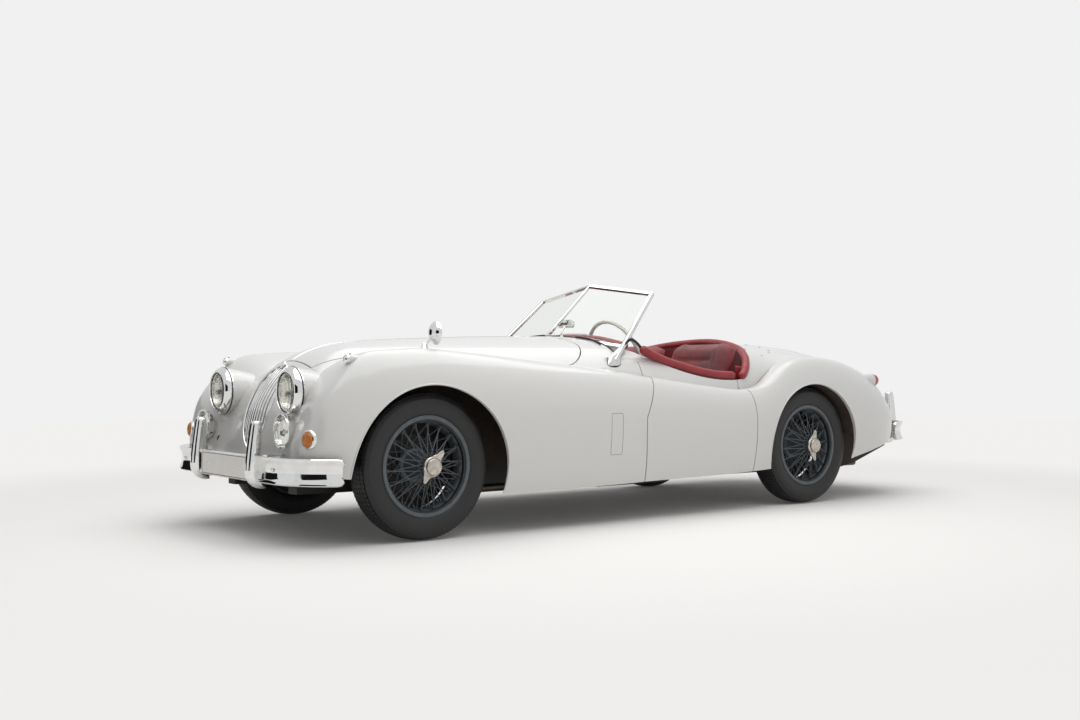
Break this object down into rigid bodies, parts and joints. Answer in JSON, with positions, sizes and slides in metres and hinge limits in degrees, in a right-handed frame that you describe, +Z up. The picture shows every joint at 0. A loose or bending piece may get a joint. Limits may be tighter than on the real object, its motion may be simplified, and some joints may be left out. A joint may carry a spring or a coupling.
{
  "type": "open two-seat roadster car",
  "caption": "Open two-seat roadster with wire wheels, V windscreen, oval slatted grille, chrome bumpers and padded cockpit; doors, bonnet and boot lid open, front wheels steer, wheels spin",
  "frame": {"origin": "on the ground, in the middle of the overall length and width", "axes": "+X the car's left, +Y rearwards, +Z up"},
  "size_m": [1.642, 4.4974, 1.2698],
  "materials": {
    "paint": "gloss off-white paint",
    "chassis_black": "dull black paint",
    "engine_iron": "cast iron, dull",
    "chrome": "bright chromium plate",
    "glass": "clear flat glass",
    "lamp_lens": "clear ribbed glass lens",
    "lamp_red": "red lens in a painted pod",
    "plate": "blank black plate",
    "cockpit_black": "satin black",
    "red_leather": "worn dark red leather",
    "wheel_rim": "pale cream rim",
    "exhaust_steel": "heat-dulled steel",
    "tyre": "black rubber, dusty",
    "wire_steel": "grey-blue painted wire wheel"
  },
  "bodies": {
    "body": {"nose_panel": "paint", "scuttle": "paint", "front_wing_left": "paint", "front_wing_right": "paint", "rear_wing_left": "paint", "rear_wing_right": "paint", "tail_panel": "paint", "rear_deck": "paint", "floor_pan": "chassis_black", "bulkhead": "chassis_black", "inner_wings": "chassis_black", "rear_floor": "chassis_black", "side_trim": "red_leather", "chassis_frame": "chassis_black", "engine_block": "engine_iron", "driveline": "chassis_black", "radiator": "chassis_black", "fuel_tank": "chassis_black", "rear_axle": "chassis_black", "front_suspension": "chassis_black", "windscreen_frame": "chrome", "windscreen_glass": "glass", "grille": "chrome", "headlamps": "chrome", "fog_lamps": "chrome", "marker_lamps": "lamp_lens", "tail_lamps": "lamp_red", "front_bumper": "chrome", "rear_bumper": "chrome", "number_plates": "plate", "steering_column": "cockpit_black", "dashboard": "red_leather", "gear_lever": "cockpit_black", "seats": "red_leather", "cockpit_roll": "red_leather", "hinge_pins": "chassis_black", "wing_mirror": "chrome", "exhaust": "exhaust_steel"},
    "door_left": {"door_left": "paint", "door_roll_left": "red_leather"},
    "knuckle_left": {"knuckle_left": "chassis_black"},
    "wheel_front_left": {"tyre_front_left": "tyre", "wheel_front_left": "wire_steel"},
    "wheel_rear_left": {"tyre_rear_left": "tyre", "wheel_rear_left": "wire_steel"},
    "door_right": {"door_right": "paint", "door_roll_right": "red_leather"},
    "knuckle_right": {"knuckle_right": "chassis_black"},
    "wheel_front_right": {"tyre_front_right": "tyre", "wheel_front_right": "wire_steel"},
    "wheel_rear_right": {"tyre_rear_right": "tyre", "wheel_rear_right": "wire_steel"},
    "bonnet": {"bonnet": "paint"},
    "boot_lid": {"boot_lid": "paint"},
    "steering_wheel": {"steering_wheel": "wheel_rim"}
  },
  "joints": [
    {"name": "steer_left", "type": "hinge", "parent": "body", "child": "knuckle_left", "pos_m": [0.529, -1.535, 0.345], "axis": [0, 0, 1], "range_deg": [-30, 30]},
    {"name": "steer_right", "type": "hinge", "parent": "body", "child": "knuckle_right", "pos_m": [-0.529, -1.535, 0.345], "axis": [0, 0, 1], "range_deg": [-30, 30]},
    {"name": "spin_front_left", "type": "hinge", "parent": "knuckle_left", "child": "wheel_front_left", "pos_m": [0.654, -1.535, 0.338], "axis": [1, 0, 0], "continuous": true},
    {"name": "spin_rear_left", "type": "hinge", "parent": "body", "child": "wheel_rear_left", "pos_m": [0.6525, 1.056, 0.338], "axis": [1, 0, 0], "continuous": true},
    {"name": "spin_front_right", "type": "hinge", "parent": "knuckle_right", "child": "wheel_front_right", "pos_m": [-0.654, -1.535, 0.338], "axis": [1, 0, 0], "continuous": true},
    {"name": "spin_rear_right", "type": "hinge", "parent": "body", "child": "wheel_rear_right", "pos_m": [-0.6525, 1.056, 0.338], "axis": [1, 0, 0], "continuous": true},
    {"name": "steering_wheel_turn", "type": "hinge", "parent": "body", "child": "steering_wheel", "pos_m": [0.29, -0.043, 0.846], "axis": [0, 0.9397, 0.342], "range_deg": [-480, 480]},
    {"name": "door_left_hinge", "type": "hinge", "parent": "body", "child": "door_left", "pos_m": [0.80671, -0.271, 0.49], "axis": [0, 0, -1], "range_deg": [0, 65]},
    {"name": "door_right_hinge", "type": "hinge", "parent": "body", "child": "door_right", "pos_m": [-0.80671, -0.271, 0.49], "axis": [0, 0, 1], "range_deg": [0, 65]},
    {"name": "bonnet_hinge", "type": "hinge", "parent": "body", "child": "bonnet", "pos_m": [0, -0.435, 0.964], "axis": [-1, 0, 0], "range_deg": [0, 50]},
    {"name": "boot_hinge", "type": "hinge", "parent": "body", "child": "boot_lid", "pos_m": [0, 1.386, 0.931], "axis": [1, 0, 0], "range_deg": [0, 60]}
  ],
  "couplings": [
    {"joint": "steer_right", "follows": "steer_left", "ratio": 1},
    {"joint": "steering_wheel_turn", "follows": "steer_left", "ratio": 16}
  ]
}
